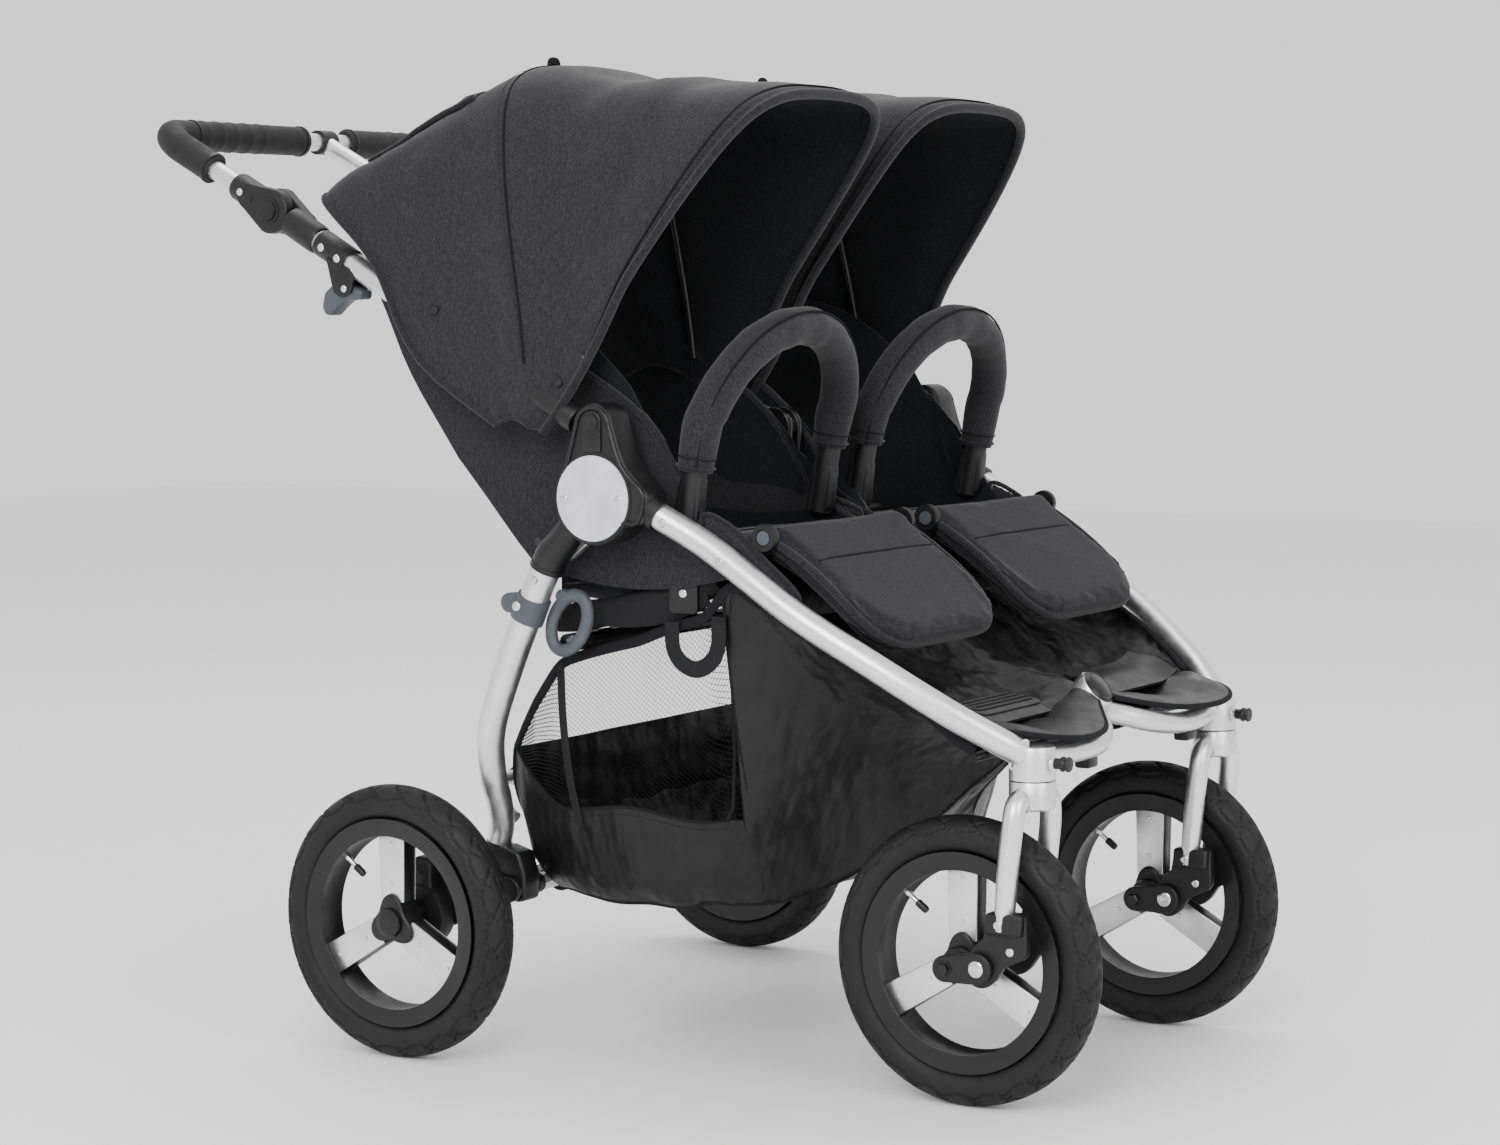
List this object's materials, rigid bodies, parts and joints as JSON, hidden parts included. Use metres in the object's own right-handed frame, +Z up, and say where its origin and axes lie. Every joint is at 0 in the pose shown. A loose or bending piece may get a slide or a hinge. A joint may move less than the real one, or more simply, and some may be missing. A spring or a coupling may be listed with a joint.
{
  "type": "twin jogging stroller",
  "caption": "Folding side-by-side stroller on air tyres, with swivelling front wheels, rear suspension, two seats with hoods and bumper bars, a shared footwell and a storage basket.",
  "frame": {"origin": "on the floor, at the middle of the length and width", "axes": "+X towards the stroller's own left side, -Y forwards, +Z up"},
  "size_m": [0.748, 1.2076, 1.1033],
  "materials": {
    "tyre": "matt black rubber with moulded tread",
    "wheel_rim": "silver spokes on a black rim and hub",
    "silver_tube": "satin anodised aluminium tube",
    "black_tube": "black powder-coated tube",
    "black_plastic": "black moulded nylon, fine grain",
    "grey_plastic": "dark grey moulded plastic",
    "grip_foam": "black foam rubber with finger bumps",
    "seat_fabric": "charcoal melange cloth, padded, with piping",
    "canopy_fabric": "charcoal melange cloth with black binding",
    "ripstop_fabric": "black coated nylon and mesh"
  },
  "bodies": {
    "chassis": {"side_rail_right": "silver_tube", "side_rail_left": "silver_tube", "side_hub_right": "black_plastic", "side_hub_left": "black_plastic", "centre_hub": "black_plastic", "front_cross_tube": "silver_tube", "centre_spine": "silver_tube", "footwell": "ripstop_fabric", "basket": "ripstop_fabric", "seat_base_right": "seat_fabric", "seat_base_left": "seat_fabric"},
    "rear_frame": {"rear_leg_right": "silver_tube", "rear_leg_left": "silver_tube", "rear_axle_tube": "silver_tube", "rear_cross_tube": "silver_tube", "seat_cross_tube": "black_tube", "rear_hoop": "silver_tube"},
    "upper_frame": {"handle_post_right": "silver_tube", "handle_post_left": "silver_tube", "centre_post": "silver_tube"},
    "handle": {"handlebar": "silver_tube", "grip_right": "grip_foam", "grip_left": "grip_foam"},
    "seat_hinge": {"seat_hinge_rod": "black_tube"},
    "brake": {"brake_pedal": "black_plastic"},
    "hook": {"fold_hook": "grey_plastic"},
    "rear_wheel_right": {"rear_tyre_right": "tyre", "rear_rim_right": "wheel_rim"},
    "hub_cap_right": {"rear_hub_cap_right": "black_plastic"},
    "front_wheel_right": {"front_tyre_right": "tyre", "front_rim_right": "wheel_rim"},
    "caster_right": {"caster_fork_right": "silver_tube"},
    "front_link_right": {"front_arm_right": "black_plastic"},
    "lock_right": {"swivel_lock_right": "black_plastic"},
    "rear_link_right": {"rear_arm_right": "black_plastic"},
    "lever_right": {"fold_lever_right": "grey_plastic"},
    "button_right": {"height_button_right": "black_plastic"},
    "back_right": {"seat_back_right": "seat_fabric"},
    "flap_right": {"calf_flap_right": "seat_fabric"},
    "bumper_right": {"bumper_bar_right": "seat_fabric"},
    "hood_right": {"canopy_right": "canopy_fabric", "canopy_mid_bow_right": "black_tube"},
    "hood_front_right": {"canopy_front_bow_right": "black_tube"},
    "rear_wheel_left": {"rear_tyre_left": "tyre", "rear_rim_left": "wheel_rim"},
    "hub_cap_left": {"rear_hub_cap_left": "black_plastic"},
    "front_wheel_left": {"front_tyre_left": "tyre", "front_rim_left": "wheel_rim"},
    "caster_left": {"caster_fork_left": "silver_tube"},
    "front_link_left": {"front_arm_left": "black_plastic"},
    "lock_left": {"swivel_lock_left": "black_plastic"},
    "rear_link_left": {"rear_arm_left": "black_plastic"},
    "lever_left": {"fold_lever_left": "grey_plastic"},
    "button_left": {"height_button_left": "black_plastic"},
    "back_left": {"seat_back_left": "seat_fabric"},
    "flap_left": {"calf_flap_left": "seat_fabric"},
    "bumper_left": {"bumper_bar_left": "seat_fabric"},
    "hood_left": {"canopy_left": "canopy_fabric", "canopy_mid_bow_left": "black_tube"},
    "hood_front_left": {"canopy_front_bow_left": "black_tube"}
  },
  "joints": [
    {"name": "frame_fold", "type": "hinge", "parent": "chassis", "child": "upper_frame", "pos_m": [0, -0.084, 0.693], "axis": [1, 0, 0], "range_deg": [0, 150], "deforming": ["basket", "canopy_right", "canopy_left", "canopy_front_bow_right", "canopy_front_bow_left", "canopy_mid_bow_right", "canopy_mid_bow_left"]},
    {"name": "leg_fold", "type": "hinge", "parent": "chassis", "child": "rear_frame", "pos_m": [0, -0.084, 0.631], "axis": [1, 0, 0], "range_deg": [-45, 0]},
    {"name": "seat_fold", "type": "hinge", "parent": "chassis", "child": "seat_hinge", "pos_m": [0, 0.03, 0.578], "axis": [1, 0, 0], "range_deg": [0, 105.5]},
    {"name": "handle_height", "type": "hinge", "parent": "upper_frame", "child": "handle", "pos_m": [0, 0.408, 0.942], "axis": [1, 0, 0], "range_deg": [-60, 27]},
    {"name": "brake_press", "type": "hinge", "parent": "rear_frame", "child": "brake", "pos_m": [-0.17, 0.089, 0.188], "axis": [-1, 0, 0], "range_deg": [0, 15]},
    {"name": "hook_swing", "type": "hinge", "parent": "rear_frame", "child": "hook", "pos_m": [-0.334, -0.02, 0.523], "axis": [1, 0, 0], "range_deg": [-80, 0]},
    {"name": "rear_wheel_spin_right", "type": "hinge", "parent": "rear_link_right", "child": "rear_wheel_right", "pos_m": [-0.352, 0.199, 0.1525], "axis": [1, 0, 0], "continuous": true},
    {"name": "front_wheel_spin_right", "type": "hinge", "parent": "front_link_right", "child": "front_wheel_right", "pos_m": [-0.2213, -0.4511, 0.1525], "axis": [1, 0, 0], "continuous": true},
    {"name": "caster_swivel_right", "type": "hinge", "parent": "chassis", "child": "caster_right", "pos_m": [-0.2213, -0.5268, 0.333], "axis": [0, 0, 1], "continuous": true},
    {"name": "front_suspension_right", "type": "hinge", "parent": "caster_right", "child": "front_link_right", "pos_m": [-0.2213, -0.489, 0.156], "axis": [1, 0, 0], "range_deg": [0, 8], "stiffness_Nm_per_rad": 60, "springref_deg": -3.44},
    {"name": "rear_suspension_right", "type": "hinge", "parent": "rear_frame", "child": "rear_link_right", "pos_m": [-0.29, 0.089, 0.188], "axis": [1, 0, 0], "range_deg": [0, 6], "stiffness_Nm_per_rad": 150, "springref_deg": -3.44},
    {"name": "hub_cap_press_right", "type": "slide", "parent": "rear_wheel_right", "child": "hub_cap_right", "axis": [1, 0, 0], "range_m": [0, 0.0027], "stiffness_N_per_m": 400},
    {"name": "lock_pull_right", "type": "slide", "parent": "chassis", "child": "lock_right", "axis": [0, -1, 0], "range_m": [0, 0.006], "stiffness_N_per_m": 300},
    {"name": "lever_squeeze_right", "type": "hinge", "parent": "upper_frame", "child": "lever_right", "pos_m": [-0.3028, 0.289, 0.853], "axis": [1, 0, 0], "range_deg": [0, 12], "stiffness_Nm_per_rad": 1, "springref_deg": -5.73},
    {"name": "height_button_right", "type": "slide", "parent": "handle", "child": "button_right", "axis": [1, 0, 0], "range_m": [0, 0.004], "stiffness_N_per_m": 400},
    {"name": "recline_right", "type": "hinge", "parent": "seat_hinge", "child": "back_right", "pos_m": [-0.1725, 0.03, 0.578], "axis": [1, 0, 0], "range_deg": [-30, 0]},
    {"name": "calf_angle_right", "type": "hinge", "parent": "chassis", "child": "flap_right", "pos_m": [-0.1725, -0.262, 0.592], "axis": [-1, 0, 0], "range_deg": [-3, 34]},
    {"name": "bumper_fold_right", "type": "hinge", "parent": "chassis", "child": "bumper_right", "pos_m": [-0.1725, -0.163, 0.612], "axis": [1, 0, 0], "range_deg": [0, 67]},
    {"name": "hood_fold_right", "type": "hinge", "parent": "upper_frame", "child": "hood_right", "pos_m": [-0.1725, 0, 0.71], "axis": [1, 0, 0], "range_deg": [-40, 0]},
    {"name": "hood_open_right", "type": "hinge", "parent": "hood_right", "child": "hood_front_right", "pos_m": [-0.1725, 0, 0.71], "axis": [-1, 0, 0], "range_deg": [0, 38]},
    {"name": "rear_wheel_spin_left", "type": "hinge", "parent": "rear_link_left", "child": "rear_wheel_left", "pos_m": [0.352, 0.199, 0.1525], "axis": [1, 0, 0], "continuous": true},
    {"name": "front_wheel_spin_left", "type": "hinge", "parent": "front_link_left", "child": "front_wheel_left", "pos_m": [0.2213, -0.4511, 0.1525], "axis": [1, 0, 0], "continuous": true},
    {"name": "caster_swivel_left", "type": "hinge", "parent": "chassis", "child": "caster_left", "pos_m": [0.2213, -0.5268, 0.333], "axis": [0, 0, 1], "continuous": true},
    {"name": "front_suspension_left", "type": "hinge", "parent": "caster_left", "child": "front_link_left", "pos_m": [0.2213, -0.489, 0.156], "axis": [1, 0, 0], "range_deg": [0, 8], "stiffness_Nm_per_rad": 60, "springref_deg": -3.44},
    {"name": "rear_suspension_left", "type": "hinge", "parent": "rear_frame", "child": "rear_link_left", "pos_m": [0.29, 0.089, 0.188], "axis": [1, 0, 0], "range_deg": [0, 6], "stiffness_Nm_per_rad": 150, "springref_deg": -3.44},
    {"name": "hub_cap_press_left", "type": "slide", "parent": "rear_wheel_left", "child": "hub_cap_left", "axis": [-1, 0, 0], "range_m": [0, 0.0027], "stiffness_N_per_m": 400},
    {"name": "lock_pull_left", "type": "slide", "parent": "chassis", "child": "lock_left", "axis": [0, -1, 0], "range_m": [0, 0.006], "stiffness_N_per_m": 300},
    {"name": "lever_squeeze_left", "type": "hinge", "parent": "upper_frame", "child": "lever_left", "pos_m": [0.3028, 0.289, 0.853], "axis": [1, 0, 0], "range_deg": [0, 12], "stiffness_Nm_per_rad": 1, "springref_deg": -5.73},
    {"name": "height_button_left", "type": "slide", "parent": "handle", "child": "button_left", "axis": [-1, 0, 0], "range_m": [0, 0.004], "stiffness_N_per_m": 400},
    {"name": "recline_left", "type": "hinge", "parent": "seat_hinge", "child": "back_left", "pos_m": [0.1725, 0.03, 0.578], "axis": [1, 0, 0], "range_deg": [-30, 0]},
    {"name": "calf_angle_left", "type": "hinge", "parent": "chassis", "child": "flap_left", "pos_m": [0.1725, -0.262, 0.592], "axis": [-1, 0, 0], "range_deg": [-3, 34]},
    {"name": "bumper_fold_left", "type": "hinge", "parent": "chassis", "child": "bumper_left", "pos_m": [0.1725, -0.163, 0.612], "axis": [1, 0, 0], "range_deg": [0, 67]},
    {"name": "hood_fold_left", "type": "hinge", "parent": "upper_frame", "child": "hood_left", "pos_m": [0.1725, 0, 0.71], "axis": [1, 0, 0], "range_deg": [-40, 0]},
    {"name": "hood_open_left", "type": "hinge", "parent": "hood_left", "child": "hood_front_left", "pos_m": [0.1725, 0, 0.71], "axis": [-1, 0, 0], "range_deg": [0, 38]}
  ],
  "couplings": [
    {"joint": "leg_fold", "follows": "frame_fold", "ratio": -0.3},
    {"joint": "seat_fold", "follows": "frame_fold", "ratio": 0.7033},
    {"joint": "bumper_fold_right", "follows": "frame_fold", "ratio": 0.4466},
    {"joint": "hood_fold_right", "follows": "frame_fold", "ratio": -0.2666},
    {"joint": "bumper_fold_left", "follows": "frame_fold", "ratio": 0.4466},
    {"joint": "hood_fold_left", "follows": "frame_fold", "ratio": -0.2666}
  ]
}
